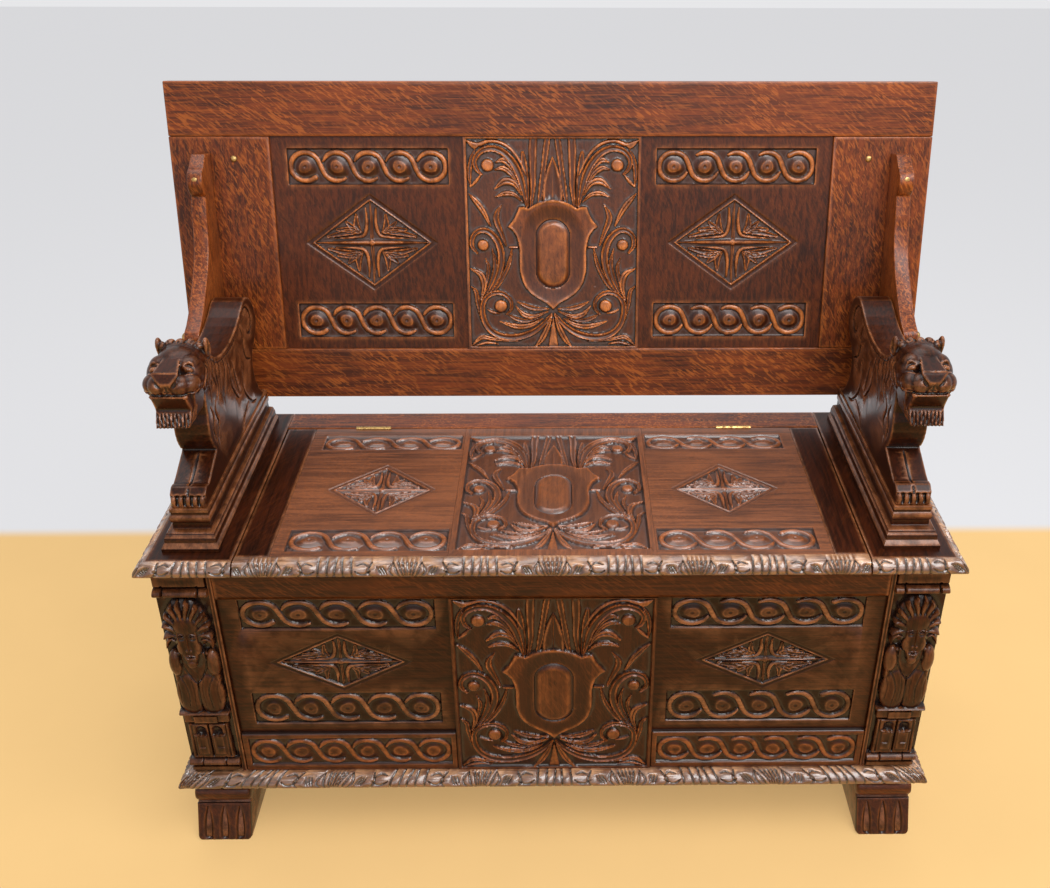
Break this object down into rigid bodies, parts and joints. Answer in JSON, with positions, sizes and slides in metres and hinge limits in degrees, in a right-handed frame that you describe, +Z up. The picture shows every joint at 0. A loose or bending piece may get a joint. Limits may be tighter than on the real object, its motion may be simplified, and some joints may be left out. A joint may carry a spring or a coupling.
{
  "type": "settle bench",
  "caption": "Carved oak monk's bench: a box settle with a lifting lid, lion arms, and a panelled back that swings over to make a table top.",
  "frame": {"origin": "on the floor, under the middle of the bench's width and depth, with the back upright", "axes": "+X to the bench's right as seen from the front, +Y to the rear, +Z up"},
  "size_m": [1.046, 0.4746, 0.9576],
  "materials": {
    "oak": "dark stained quarter-sawn oak, satin wax",
    "carved_oak": "dark stained carved oak, satin wax with worn highlights",
    "brass": "aged brass"
  },
  "bodies": {
    "bench": {"sledge_foot_left": "oak", "sledge_foot_right": "oak", "base_moulding_front": "carved_oak", "base_moulding_left": "carved_oak", "base_moulding_right": "carved_oak", "front_post_left": "oak", "front_post_right": "oak", "term_figure_left": "carved_oak", "term_figure_right": "carved_oak", "front_top_rail": "oak", "front_centre_board": "carved_oak", "front_lower_rail_left": "carved_oak", "front_lower_rail_right": "carved_oak", "front_panel_left": "carved_oak", "front_panel_right": "carved_oak", "rear_post_left": "oak", "rear_post_right": "oak", "end_top_rail_left": "oak", "end_top_rail_right": "oak", "end_bottom_rail_left": "oak", "end_bottom_rail_right": "oak", "end_panel_left": "oak", "end_panel_right": "oak", "chest_back": "oak", "chest_bottom": "oak", "seat_end_board_left": "oak", "seat_end_board_right": "oak", "seat_rear_rail": "oak", "hinge_fixed_leaf_left": "brass", "hinge_fixed_leaf_right": "brass", "hinge_pin_left": "brass", "hinge_pin_right": "brass", "arm_plinth_left": "oak", "arm_plinth_right": "oak", "arm_board_left": "carved_oak", "arm_board_right": "carved_oak", "lion_head_left": "carved_oak", "lion_head_right": "carved_oak", "pivot_pin_left": "brass", "pivot_pin_right": "brass"},
    "lid": {"lid_nosing": "carved_oak", "lid_centre_board": "carved_oak", "lid_field_left": "carved_oak", "lid_field_right": "carved_oak", "lid_clamp_left": "oak", "lid_clamp_right": "oak", "hinge_lid_leaf_left": "brass", "hinge_lid_leaf_right": "brass"},
    "back": {"back_bottom_rail": "oak", "back_top_rail": "oak", "back_stile_left": "oak", "back_stile_right": "oak", "back_centre_board": "carved_oak", "back_panel_left": "carved_oak", "back_panel_right": "carved_oak", "bearer_left": "oak", "bearer_right": "oak", "back_stud_left": "brass", "back_stud_right": "brass"}
  },
  "joints": [
    {"name": "back_swing", "type": "hinge", "parent": "bench", "child": "back", "pos_m": [0, 0.04065, 0.662], "axis": [1, 0, 0], "range_deg": [0, 100.5]},
    {"name": "lid_hinge", "type": "hinge", "parent": "bench", "child": "lid", "pos_m": [0, 0.10815, 0.484], "axis": [-1, 0, 0], "range_deg": [0, 104]}
  ]
}
